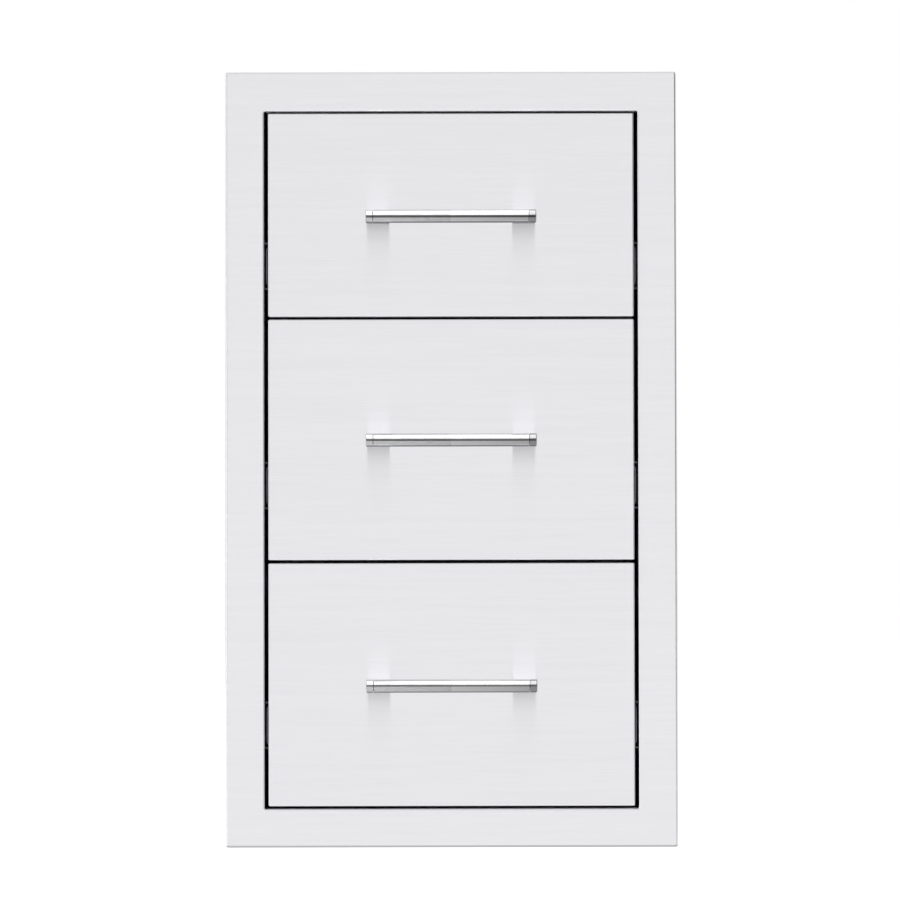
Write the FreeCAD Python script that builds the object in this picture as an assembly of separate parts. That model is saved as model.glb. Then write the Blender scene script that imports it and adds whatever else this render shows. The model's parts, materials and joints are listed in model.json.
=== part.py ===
import FreeCAD, Part
import itertools
import math
import os

# Built-in outdoor kitchen drawer unit in brushed stainless steel: a folded face frame, a folded
# case behind it, and three drawers on telescopic ball slides. Lengths are millimetres, +Z is up
# and the fronts face -Y. The origin lies on the wall plane, on the centre line of the unit, in
# the middle of the lower rear lip that rests on the wall.

# Face frame
FRAME_WIDTH = 433.5
FRAME_HEIGHT = 744.0
FRAME_DEPTH = 19.0
FRAME_SHEET = 1.2
FRAME_BEND = 2.4
FRAME_REAR_LIP = 10.0
OPENING_WIDTH = 358.0
OPENING_HEIGHT = 669.0
BORDER_BELOW = 37.0
INNER_RETURN = 22.0
LIP_SEAM = 0.5

# Case
CASE_SHEET = 1.0
CASE_DEPTH = 505.0
CASE_FLANGE = 12.0
CASE_BEND = 1.7
TONGUE_HALF_WIDTH = 177.0
TRAY_FRONT = -10.0
SIDE_CLEARANCE = 0.3
FIXING_HOLE = 5.5
FIXING_HOLE_Y = 30.0
FIXING_HOLES_Z = (190.0, 630.0)

# Drawer fronts, from the lowest up, with the gap under each
FRONT_NAMES = ("bottom", "middle", "top")
FRONT_HEIGHTS = (232.7, 231.0, 195.4)
GAPS_UNDER = (2.5, 2.9, 2.5)
FRONT_WIDTH = 351.4
FRONT_SHEET = 1.0
FRONT_BEND = 2.2
LINER_FLANGE = 9.0

# Drawer boxes
BOX_DEPTH = 450.0
BOX_SHEET = 1.0
BOX_BEND = 2.0
BOX_ABOVE_FRONT_FOOT = 14.0
BOX_BELOW_FRONT_TOP = 36.0
HEM_HEIGHT = 8.0

# Bar handles
HANDLE_LENGTH = 163.0
HANDLES_BELOW_MIDDLE = (0.7, 1.1, 3.3)
BAR_DIAMETER = 12.7
CAP_LENGTH = 6.7
HANDLE_REACH = 38.0
POST_WIDTH = 22.0
POST_HEIGHT = 10.0
POST_INSET = 0.6
SADDLE_GAP = 0.06

# Telescopic slides: the section is drawn in u, out from the case side, and w, up from the
# centre line of the slide
SLIDE_THICKNESS = 12.7
SLIDE_FRONT = 4.0
SLIDE_LENGTH = 450.0
RAIL_SETBACK = 8.0
SLIDE_CENTRES = (77.0, 72.0, 50.0)
BALL_FACET_RADIUS = 1.93
RACE_RADIUS = 2.05
OUTER_BALL_U = 8.85
OUTER_BALL_W = 19.2
INNER_BALL_U = 5.35
CABINET_RAIL_SHEET = 1.2
CENTRE_RAIL_SHEET = 1.0
DRAWER_RAIL_SHEET = 1.2
CABINET_LIP_ANGLE = 15.0
CENTRE_LIP_ANGLE = -45.0
GROOVE_ANGLE = 30.0
GROOVE_RIM_ANGLE = 15.0
GROOVE_LEAD = 0.6
CAGE_LENGTH = 200.0
CAGE_SHEET = 0.45
OUTER_CAGE_U = 1.725
OUTER_CAGE_REACH = 11.6
INNER_CAGE_U = 3.8
INNER_CAGE_REACH = 8.1
BALLS_IN_ROW = 4
POCKET = 4.3
BUMPER_HALF_HEIGHT = 9.0
BUMPER_REACH = 9.0
BUMPER_LENGTH = 7.0

# Levels and faces that follow from these
OPENING_FOOT = BORDER_BELOW - FRAME_REAR_LIP / 2
OPENING_TOP = OPENING_FOOT + OPENING_HEIGHT
FRAME_FOOT = OPENING_FOOT - BORDER_BELOW
FRAME_TOP = FRAME_FOOT + FRAME_HEIGHT
CASE_FOOT = OPENING_FOOT - FRAME_SHEET - CASE_SHEET
CASE_TOP = OPENING_TOP + FRAME_SHEET + CASE_SHEET
CASE_WALL = OPENING_WIDTH / 2 + FRAME_SHEET
WELD_FACE = -FRAME_DEPTH + FRAME_SHEET + CASE_SHEET / 2
BOX_HALF_WIDTH = CASE_WALL - SLIDE_THICKNESS
SLIDE_REAR = SLIDE_FRONT + SLIDE_LENGTH
BAR_Y = -FRAME_DEPTH - HANDLE_REACH + BAR_DIAMETER / 2

OUT = "parts"
os.makedirs(OUT, exist_ok=True)


def point(x, y, z):
    """A place, or a direction, in space."""
    return FreeCAD.Vector(x, y, z)


def block(x_range, y_range, z_range):
    """A box between two values along each axis."""
    low = point(min(x_range), min(y_range), min(z_range))
    size = [max(span) - min(span) for span in (x_range, y_range, z_range)]
    return Part.makeBox(size[0], size[1], size[2], low)


def edge_direction(edge):
    """The unit direction of a straight edge."""
    ends = [vertex.Point for vertex in edge.Vertexes]
    return (ends[1] - ends[0]).normalize()


def edges_in_plane(shape, axis, level):
    """Edges of a block that lie in the plane at a level of one axis."""
    return [edge for edge in shape.Edges
            if all(abs(vertex.Point.dot(axis) - level) < 1e-6 for vertex in edge.Vertexes)]


def folded_pan(x_range, y_range, z_range, open_axis, sheet, bend):
    """A pan folded from one sheet, open towards the positive end of one axis.

    Its four walls rise from bends round the floor and meet in square welded corners.
    """
    spans = [list(x_range), list(y_range), list(z_range)]
    axis = (point(1, 0, 0), point(0, 1, 0), point(0, 0, 1))[open_axis]
    floor = spans[open_axis][0]
    inner_spans = [[low + sheet, high - sheet] for low, high in spans]
    inner_spans[open_axis][1] = spans[open_axis][1]
    outside = block(*spans)
    inside = block(*inner_spans)
    outside = outside.makeFillet(bend, edges_in_plane(outside, axis, floor))
    inside = inside.makeFillet(bend - sheet, edges_in_plane(inside, axis, floor + sheet))
    return outside.cut(inside)


def ahead(place, heading, distance):
    """The plane point at a distance from another, along a heading in degrees."""
    angle = math.radians(heading)
    return (place[0] + distance * math.cos(angle), place[1] + distance * math.sin(angle))


def strip_side(start, heading, moves, offset, to_space):
    """Edges along one face of a bent strip, at an offset to the left of its middle line.

    Each move is a straight length of the middle line, then a turn in degrees and its radius,
    which is 0 for a sharp fold. The two ends of the face are returned with its edges.
    """
    place = start
    knot = ahead(place, heading + 90, offset)
    knots = [knot]
    edges = []
    for straight, turn, radius in moves:
        place = ahead(place, heading, straight)
        stretch = 1 if radius else math.cos(math.radians(turn / 2))
        lean = 90 if radius else 90 + turn / 2
        reached = ahead(place, heading + lean, offset / stretch)
        if straight > 0:
            edges.append(Part.LineSegment(to_space(*knot), to_space(*reached)).toShape())
        knot = reached
        if radius:
            inner_side = math.copysign(90, turn)
            centre = ahead(place, heading + inner_side, radius)
            face_radius = radius - offset * math.copysign(1, turn)
            bend = [ahead(centre, heading - inner_side + share * turn, face_radius)
                    for share in (0, 0.5, 1)]
            edges.append(Part.Arc(*[to_space(*spot) for spot in bend]).toShape())
            place = ahead(centre, heading - inner_side + turn, radius)
            knot = bend[2]
        heading += turn
    knots.append(knot)
    return edges, knots


def bent_strip(start, heading, moves, sheet, to_space):
    """The cut face of a sheet bent along the moves of its middle line."""
    left, left_ends = strip_side(start, heading, moves, sheet / 2, to_space)
    right, right_ends = strip_side(start, heading, moves, -sheet / 2, to_space)
    tips = [Part.LineSegment(to_space(*one), to_space(*other)).toShape()
            for one, other in zip(left_ends, right_ends)]
    return Part.Face(Part.Wire(Part.sortEdges(left + right + tips)[0]))


def rim_edges(shape):
    """Edges round the front and rear faces of a block."""
    return [edge for edge in shape.Edges if abs(edge_direction(edge).y) < 0.01]


def face_frame():
    """Raised frame: one sheet with outer returns, rear lips and returns into the opening."""
    half = FRAME_WIDTH / 2
    outside = block((-half, half), (-FRAME_DEPTH, 0), (FRAME_FOOT, FRAME_TOP))
    outside = outside.makeFillet(FRAME_BEND, rim_edges(outside))
    inner = half - FRAME_SHEET
    inside = block((-inner, inner), (FRAME_SHEET - FRAME_DEPTH, -FRAME_SHEET),
                   (FRAME_FOOT + FRAME_SHEET, FRAME_TOP - FRAME_SHEET))
    inside = inside.makeFillet(FRAME_BEND - FRAME_SHEET, rim_edges(inside))
    frame = outside.cut(inside)
    lip = half - FRAME_REAR_LIP
    rear_gap = block((-lip, lip), (-2 * FRAME_SHEET, 1),
                     (FRAME_FOOT + FRAME_REAR_LIP, FRAME_TOP - FRAME_REAR_LIP))
    wide = OPENING_WIDTH / 2 + FRAME_BEND
    face_gap = block((-wide, wide), (-FRAME_DEPTH - 1, 2 * FRAME_SHEET - FRAME_DEPTH),
                     (OPENING_FOOT - FRAME_BEND, OPENING_TOP + FRAME_BEND))
    frame = frame.cut(rear_gap).cut(face_gap)
    returns = [opening_return(side) for side in ("left", "right", "foot", "head")]
    return frame.fuse(returns).cut(lip_seams()).removeSplitter()


def opening_return(side):
    """The sheet turned back along one side of the opening, mitred to its neighbours."""
    run = INNER_RETURN - FRAME_BEND
    middle_radius = FRAME_BEND - FRAME_SHEET / 2
    start = (0, -FRAME_DEPTH + FRAME_SHEET / 2)
    moves = ((0, 90, middle_radius), (run, 0, 0))
    sign = 1 if side in ("right", "head") else -1
    half = OPENING_WIDTH / 2
    wide = half + FRAME_BEND
    low, high = OPENING_FOOT - FRAME_BEND, OPENING_TOP + FRAME_BEND
    if side in ("left", "right"):
        section = bent_strip(start, 0, moves, FRAME_SHEET, lambda a, y: point(sign * (wide - a), y, low))
        strip = section.extrude(point(0, 0, high - low))
        corners = [(sign * half, OPENING_FOOT), (sign * wide, low), (sign * wide, high),
                   (sign * half, OPENING_TOP)]
    else:
        outer, inner = (high, OPENING_TOP) if side == "head" else (low, OPENING_FOOT)
        section = bent_strip(start, 0, moves, FRAME_SHEET, lambda a, y: point(-wide, y, outer - sign * a))
        strip = section.extrude(point(2 * wide, 0, 0))
        corners = [(-half, inner), (-wide, outer), (wide, outer), (half, inner)]
    return strip.common(mitred_prism(corners))


def mitred_prism(corners):
    """A prism through the depth of the frame, from its corners in the plane of the face."""
    outline = [point(x, -FRAME_DEPTH, z) for x, z in corners]
    outline.append(outline[0])
    return Part.Face(Part.makePolygon(outline)).extrude(point(0, FRAME_DEPTH + INNER_RETURN, 0))


def lip_seams():
    """Mitred seams where the rear lips meet at the frame's four corners."""
    seams = []
    run = FRAME_REAR_LIP * math.sqrt(2) + LIP_SEAM
    for x, z, turn in ((-1, 0, 45), (1, 0, 135), (1, 1, 225), (-1, 1, 315)):
        seam = block((FRAME_BEND, run), (-1.5 * FRAME_SHEET, 1), (-LIP_SEAM / 2, LIP_SEAM / 2))
        seam.rotate(point(0, 0, 0), point(0, 1, 0), -turn)
        seam.translate(point(x * FRAME_WIDTH / 2, 0, FRAME_TOP if z else FRAME_FOOT))
        seams.append(seam)
    return seams


def case_side(sign):
    """Case wall with a flange turned out behind the face and one turned in at the back."""
    wall = CASE_WALL + CASE_SHEET / 2
    start = (wall + CASE_FLANGE, WELD_FACE)
    run = CASE_DEPTH - CASE_SHEET / 2 - WELD_FACE - CASE_BEND
    moves = ((CASE_FLANGE - CASE_BEND, -90, CASE_BEND), (run, 90, 0), (CASE_FLANGE, 0, 0))
    foot = CASE_FOOT + CASE_SHEET + SIDE_CLEARANCE
    head = CASE_TOP - CASE_SHEET - SIDE_CLEARANCE
    section = bent_strip(start, 180, moves, CASE_SHEET, lambda x, y: point(sign * x, y, foot))
    side = section.extrude(point(0, 0, head - foot))
    for z in FIXING_HOLES_Z:
        drill = Part.makeCylinder(FIXING_HOLE / 2, 3 * CASE_SHEET,
                                  point(sign * CASE_WALL - sign * CASE_SHEET, FIXING_HOLE_Y, z),
                                  point(sign, 0, 0))
        side = side.cut(drill)
    return side


def case_tray(level, up):
    """Top or bottom of the case: flanges lap the sides, a tongue is welded behind the face.

    Up is 1 for the bottom, whose side flanges stand up, and -1 for the top.
    """
    wall = CASE_WALL + 1.5 * CASE_SHEET
    middle = level + up * CASE_SHEET / 2
    start = (-wall, middle + up * CASE_FLANGE)
    moves = ((CASE_FLANGE, up * 90, 0), (2 * wall, up * 90, 0), (CASE_FLANGE, 0, 0))
    section = bent_strip(start, -up * 90, moves, CASE_SHEET, lambda x, z: point(x, TRAY_FRONT, z))
    tray = section.extrude(point(0, CASE_DEPTH - TRAY_FRONT, 0))
    lap = TRAY_FRONT + CASE_SHEET
    moves = ((lap - WELD_FACE - CASE_BEND, up * 90, CASE_BEND), (CASE_FLANGE - CASE_BEND, 0, 0))
    section = bent_strip((lap, middle), 180, moves, CASE_SHEET,
                         lambda y, z: point(-TONGUE_HALF_WIDTH, y, z))
    return tray.fuse(section.extrude(point(2 * TONGUE_HALF_WIDTH, 0, 0))).removeSplitter()


def case_back():
    """Flat back panel on the rear flanges of the case."""
    half = CASE_WALL + 2 * CASE_SHEET
    return block((-half, half), (CASE_DEPTH, CASE_DEPTH + CASE_SHEET), (CASE_FOOT, CASE_TOP))


def front_skin(foot, height):
    """Outer skin of a drawer front, folded back on four sides."""
    half = FRONT_WIDTH / 2
    return folded_pan((-half, half), (-FRAME_DEPTH, 0), (foot, foot + height), 1, FRONT_SHEET, FRONT_BEND)


def front_liner(foot, height):
    """Inner pan that closes the skin from behind, its flanges forward inside the returns."""
    half = FRONT_WIDTH / 2 - FRONT_SHEET
    low, high = foot + FRONT_SHEET, foot + height - FRONT_SHEET
    outside = block((-half, half), (-LINER_FLANGE, 0), (low, high))
    inner = half - FRONT_SHEET
    inside = block((-inner, inner), (-LINER_FLANGE - 1, -FRONT_SHEET),
                   (low + FRONT_SHEET, high - FRONT_SHEET))
    return outside.cut(inside)


def drawer_box(foot, height):
    """Drawer box: a pan open at the top, with its rim hemmed inwards."""
    low, high = foot + BOX_ABOVE_FRONT_FOOT, foot + height - BOX_BELOW_FRONT_TOP
    half = BOX_HALF_WIDTH
    pan = folded_pan((-half, half), (0, BOX_DEPTH), (low, high), 2, BOX_SHEET, BOX_BEND)
    hem_outer = half - BOX_SHEET
    hem_inner = hem_outer - BOX_SHEET
    hem = block((-hem_outer, hem_outer), (BOX_SHEET, BOX_DEPTH - BOX_SHEET), (high - HEM_HEIGHT, high))
    hem = hem.cut(block((-hem_inner, hem_inner), (2 * BOX_SHEET, BOX_DEPTH - 2 * BOX_SHEET),
                        (high - HEM_HEIGHT - 1, high + 1)))
    return pan.fuse(hem).removeSplitter()


def post_places():
    """Middle of each handle post along the bar."""
    reach = HANDLE_LENGTH / 2 - POST_INSET - POST_WIDTH / 2
    return (-reach, reach)


def handle_bar(level):
    """Round bar between the two end caps."""
    length = HANDLE_LENGTH - 2 * CAP_LENGTH
    return Part.makeCylinder(BAR_DIAMETER / 2, length, point(-length / 2, BAR_Y, level), point(1, 0, 0))


def handle_cap(sign, level):
    """Turned end cap of the bar."""
    root = sign * (HANDLE_LENGTH / 2 - CAP_LENGTH)
    return Part.makeCylinder(BAR_DIAMETER / 2, CAP_LENGTH, point(root, BAR_Y, level), point(sign, 0, 0))


def handle_post(x, level):
    """Flat-sided post, hollowed to seat the round bar."""
    half_width = POST_WIDTH / 2
    half_height = POST_HEIGHT / 2
    post = block((x - half_width, x + half_width), (BAR_Y, -FRAME_DEPTH),
                 (level - half_height, level + half_height))
    seat = Part.makeCylinder(BAR_DIAMETER / 2 + SADDLE_GAP, 2 * POST_WIDTH,
                             point(x - POST_WIDTH, BAR_Y, level), point(1, 0, 0))
    return post.cut(seat)


def inner_ball_level():
    """Height of the inner ball rows: the centre rail's two races meet in one smooth curve."""
    span = 2 * (RACE_RADIUS + CENTRE_RAIL_SHEET / 2)
    return OUTER_BALL_W - math.sqrt(span ** 2 - (OUTER_BALL_U - INNER_BALL_U) ** 2)


def slide_axes(sign, centre, y):
    """Map a section point (u, w) of a slide to space, for the right (1) or left (-1) case wall."""
    return lambda u, w: point(sign * (CASE_WALL - u), y, centre + w)


def cabinet_rail(sign, centre):
    """Outer rail, screwed to the case: a channel whose lips curl over the outer ball rows."""
    sheet = CABINET_RAIL_SHEET
    race = RACE_RADIUS + sheet / 2
    start = ahead((OUTER_BALL_U, OUTER_BALL_W), CABINET_LIP_ANGLE, race)
    curl = 90 - CABINET_LIP_ANGLE
    flange = OUTER_BALL_U - sheet / 2
    web = 2 * (OUTER_BALL_W + race)
    moves = ((0, curl, race), (flange, 90, 0), (web, 90, 0), (flange, curl, race))
    section = bent_strip(start, 90 + CABINET_LIP_ANGLE, moves, sheet,
                         slide_axes(sign, centre, SLIDE_FRONT))
    return section.extrude(point(0, SLIDE_LENGTH, 0))


def centre_rail(sign, centre):
    """Floating rail: each edge curves over an inner ball row and under an outer one."""
    sheet = CENTRE_RAIL_SHEET
    race = RACE_RADIUS + sheet / 2
    inner_level = inner_ball_level()
    link = math.degrees(math.atan2(OUTER_BALL_W - inner_level, OUTER_BALL_U - INNER_BALL_U))
    start = ahead((OUTER_BALL_U, OUTER_BALL_W), CENTRE_LIP_ANGLE, race)
    outer_turn = link - 180 - CENTRE_LIP_ANGLE
    inner_turn = 180 - link
    moves = ((0, outer_turn, race), (0, inner_turn, race), (2 * inner_level, inner_turn, race),
             (0, outer_turn, race))
    section = bent_strip(start, CENTRE_LIP_ANGLE - 90, moves, sheet,
                         slide_axes(sign, centre, SLIDE_FRONT))
    return section.extrude(point(0, SLIDE_LENGTH - RAIL_SETBACK, 0))


def drawer_rail(sign, centre):
    """Inner rail, screwed to the drawer box: a channel with a groove under each inner ball row."""
    sheet = DRAWER_RAIL_SHEET
    race = RACE_RADIUS + sheet / 2
    ball_level = inner_ball_level()
    groove_end = ahead((INNER_BALL_U, ball_level), 270 + GROOVE_ANGLE, race)
    fold = ahead(groove_end, GROOVE_ANGLE, GROOVE_LEAD)
    start = ahead((INNER_BALL_U, ball_level), 270 - GROOVE_RIM_ANGLE, race)
    flange = SLIDE_THICKNESS - sheet / 2 - fold[0]
    groove = GROOVE_RIM_ANGLE + GROOVE_ANGLE
    moves = ((0, groove, race), (GROOVE_LEAD, -GROOVE_ANGLE, 0), (flange, -90, 0),
             (2 * fold[1], -90, 0), (flange, -GROOVE_ANGLE, 0), (GROOVE_LEAD, groove, race))
    section = bent_strip(start, -GROOVE_RIM_ANGLE, moves, sheet, slide_axes(sign, centre, SLIDE_FRONT))
    return section.extrude(point(0, SLIDE_LENGTH - RAIL_SETBACK, 0))


def ball_places():
    """Places of the balls along a cage, evenly spaced about the middle of the slide."""
    middle = SLIDE_FRONT + SLIDE_LENGTH / 2
    pitch = CAGE_LENGTH / BALLS_IN_ROW
    return [middle + pitch * (place - (BALLS_IN_ROW - 1) / 2) for place in range(BALLS_IN_ROW)]


def ball_cage(sign, centre, web_u, ball_u, level, reach):
    """Pressed strip that spaces two rows of balls, with a pocket in its edges for each ball."""
    front = SLIDE_FRONT + (SLIDE_LENGTH - CAGE_LENGTH) / 2
    flange = reach - web_u
    moves = ((flange, 90, 0), (2 * level, 90, 0), (flange, 0, 0))
    section = bent_strip((reach, level), 180, moves, CAGE_SHEET, slide_axes(sign, centre, front))
    cage = section.extrude(point(0, CAGE_LENGTH, 0))
    near, far = (sign * (CASE_WALL - ball_u + side * POCKET / 2) for side in (1, -1))
    tall = level + POCKET
    pockets = [block((near, far), (y - POCKET / 2, y + POCKET / 2), (centre - tall, centre + tall))
               for y in ball_places()]
    return cage.cut(pockets)


def ball(middle):
    """Steel ball as a twenty-sided solid whose corners lie on the ball's surface."""
    golden = (1 + math.sqrt(5)) / 2
    scale = BALL_FACET_RADIUS / math.hypot(1, golden)
    corners = []
    for one, other in itertools.product((-1, 1), repeat=2):
        spots = ((0, one, other * golden), (one, other * golden, 0), (other * golden, 0, one))
        corners += [middle + point(*spot) * scale for spot in spots]
    faces = []
    for trio in itertools.combinations(corners, 3):
        sides = [trio[0].distanceToPoint(trio[1]), trio[1].distanceToPoint(trio[2]),
                 trio[2].distanceToPoint(trio[0])]
        if max(sides) < 2.1 * scale:
            faces.append(Part.Face(Part.makePolygon([*trio, trio[0]])))
    return Part.makeSolid(Part.makeShell(faces))


def ball_rows(sign, centre, ball_u, level):
    """The balls of one cage: a row along its upper edge and one along its lower edge."""
    to_space = slide_axes(sign, centre, 0)
    balls = []
    for w in (level, -level):
        for y in ball_places():
            balls.append(ball(to_space(ball_u, w) + point(0, y, 0)))
    return balls


def slide_bumper(sign, centre):
    """Rubber stop at the rear of the cabinet rail, which the other rails close against."""
    near = CASE_WALL - CABINET_RAIL_SHEET
    return block((sign * near, sign * (near - BUMPER_REACH)),
                 (SLIDE_REAR - BUMPER_LENGTH, SLIDE_REAR),
                 (centre - BUMPER_HALF_HEIGHT, centre + BUMPER_HALF_HEIGHT))


def export(name, solids):
    """Write one node: a solid alone, or like solids together."""
    shape = solids[0] if len(solids) == 1 else Part.makeCompound(solids)
    if not shape.isValid():
        raise ValueError(name + " is not a valid shape")
    shape.exportStep(os.path.join(OUT, name + ".step"))


def export_drawer(name, foot, height, level, centre):
    """All the pieces of one drawer, its handle at a level, and of its two slides, at another."""
    export(name + "_front_skin", [front_skin(foot, height)])
    export(name + "_front_liner", [front_liner(foot, height)])
    export(name + "_drawer_box", [drawer_box(foot, height)])
    export(name + "_handle_bar", [handle_bar(level)])
    export(name + "_handle_caps", [handle_cap(sign, level) for sign in (-1, 1)])
    export(name + "_handle_posts", [handle_post(x, level) for x in post_places()])
    for side, sign in (("left", -1), ("right", 1)):
        export(name + "_cabinet_rail_" + side, [cabinet_rail(sign, centre)])
        export(name + "_centre_rail_" + side, [centre_rail(sign, centre)])
        export(name + "_drawer_rail_" + side, [drawer_rail(sign, centre)])
    inner_level = inner_ball_level()
    sides = (-1, 1)
    export(name + "_slide_bumpers", [slide_bumper(sign, centre) for sign in sides])
    export(name + "_outer_cages", [
        ball_cage(sign, centre, OUTER_CAGE_U, OUTER_BALL_U, OUTER_BALL_W, OUTER_CAGE_REACH)
        for sign in sides])
    export(name + "_inner_cages", [
        ball_cage(sign, centre, INNER_CAGE_U, INNER_BALL_U, inner_level, INNER_CAGE_REACH)
        for sign in sides])
    outer_rows = [ball_rows(sign, centre, OUTER_BALL_U, OUTER_BALL_W) for sign in sides]
    inner_rows = [ball_rows(sign, centre, INNER_BALL_U, inner_level) for sign in sides]
    export(name + "_outer_balls", sum(outer_rows, []))
    export(name + "_inner_balls", sum(inner_rows, []))


export("face_frame", [face_frame()])
export("case_side_left", [case_side(-1)])
export("case_side_right", [case_side(1)])
export("case_bottom", [case_tray(CASE_FOOT, 1)])
export("case_top", [case_tray(CASE_TOP, -1)])
export("case_back", [case_back()])

sizes = zip(FRONT_NAMES, FRONT_HEIGHTS, GAPS_UNDER, HANDLES_BELOW_MIDDLE, SLIDE_CENTRES)
front_foot = OPENING_FOOT
for drawer, front_height, gap, handle_drop, slide_height in sizes:
    front_foot += gap
    handle_level = front_foot + front_height / 2 - handle_drop
    export_drawer(drawer, front_foot, front_height, handle_level, front_foot + slide_height)
    front_foot += front_height
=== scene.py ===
import bmesh
import bpy
import json
import math
from mathutils import Matrix, Vector

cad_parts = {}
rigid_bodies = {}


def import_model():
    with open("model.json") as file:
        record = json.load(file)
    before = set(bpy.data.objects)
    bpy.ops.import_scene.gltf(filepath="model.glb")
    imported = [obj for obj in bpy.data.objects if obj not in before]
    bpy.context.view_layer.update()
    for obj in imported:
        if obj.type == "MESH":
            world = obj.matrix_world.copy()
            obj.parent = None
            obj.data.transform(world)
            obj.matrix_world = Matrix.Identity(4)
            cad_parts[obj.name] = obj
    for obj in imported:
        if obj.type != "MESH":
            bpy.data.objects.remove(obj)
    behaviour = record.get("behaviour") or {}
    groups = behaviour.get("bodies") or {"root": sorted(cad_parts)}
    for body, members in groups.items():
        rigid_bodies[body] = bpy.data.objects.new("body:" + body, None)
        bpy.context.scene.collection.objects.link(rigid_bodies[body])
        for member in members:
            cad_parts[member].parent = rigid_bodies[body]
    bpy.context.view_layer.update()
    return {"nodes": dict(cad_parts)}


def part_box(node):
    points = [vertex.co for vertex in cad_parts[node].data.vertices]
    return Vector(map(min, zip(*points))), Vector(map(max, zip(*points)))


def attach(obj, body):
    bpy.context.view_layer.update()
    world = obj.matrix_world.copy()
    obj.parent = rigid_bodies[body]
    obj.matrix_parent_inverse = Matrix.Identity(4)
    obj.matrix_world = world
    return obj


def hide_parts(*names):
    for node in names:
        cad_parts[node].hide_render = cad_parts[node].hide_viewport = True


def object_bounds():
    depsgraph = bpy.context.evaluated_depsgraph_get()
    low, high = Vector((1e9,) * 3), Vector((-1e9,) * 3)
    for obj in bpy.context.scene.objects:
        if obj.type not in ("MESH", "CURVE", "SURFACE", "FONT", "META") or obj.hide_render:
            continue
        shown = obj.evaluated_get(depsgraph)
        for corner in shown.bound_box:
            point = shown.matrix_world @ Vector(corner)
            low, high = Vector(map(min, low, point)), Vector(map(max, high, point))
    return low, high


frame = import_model()
nodes = frame["nodes"]
DRAWERS = ("bottom", "middle", "top")


# FACE FRAME
# One sheet of 1.2 mm 304 stainless steel, folded to a raised face with returns all round, its
# corners welded and dressed. Brushed along its width to a number 4 finish before it is folded.
FRAME_STEEL = "#E9E8EB"
FRAME_STEEL_STREAK = "#E2E1E4"
GRAIN_LENGTH = 0.055
GRAIN_WIDTH = 0.0011
STREAK_LENGTH = 0.30
STREAK_WIDTH = 0.006
FRAME_DEPTH = 0.019
FRAME_SHEET = 0.0012
OUTER_BEND = 0.0024
OPENING_BEND = 0.0019
REAR_LIP = 0.010
OUTER_CORNER = 0.0025
OPENING_CORNER = 0.0018
LEAST_CORNER = 0.0001
OPENING_HALF_WIDTH = 0.179
OPENING_LOW = 0.032
OPENING_HIGH = 0.701
CORNER_STEPS = 8
BEND_STEPS = 8
BRUSHED_ROUGHNESS = 0.30


def linear(hexadecimal):
    """An sRGB hex colour as the linear colour that a shader socket takes."""
    parts = [int(hexadecimal[i:i + 2], 16) / 255 for i in (1, 3, 5)]
    return [p / 12.92 if p <= 0.04045 else ((p + 0.055) / 1.055) ** 2.4 for p in parts] + [1.0]


def add(tree, kind, inputs=(), **settings):
    """A new node, with its settings, and its inputs set to values or linked to other sockets."""
    made = tree.nodes.new(kind)
    for name, value in settings.items():
        setattr(made, name, value)
    for name, value in dict(inputs).items():
        if isinstance(value, bpy.types.NodeSocket):
            tree.links.new(value, made.inputs[name])
        else:
            made.inputs[name].default_value = value
    return made


def new_material(name):
    """An empty node material, and its output node."""
    material = bpy.data.materials.new(name)
    material.use_nodes = True
    material.node_tree.nodes.clear()
    return material, add(material.node_tree, "ShaderNodeOutputMaterial")


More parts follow.
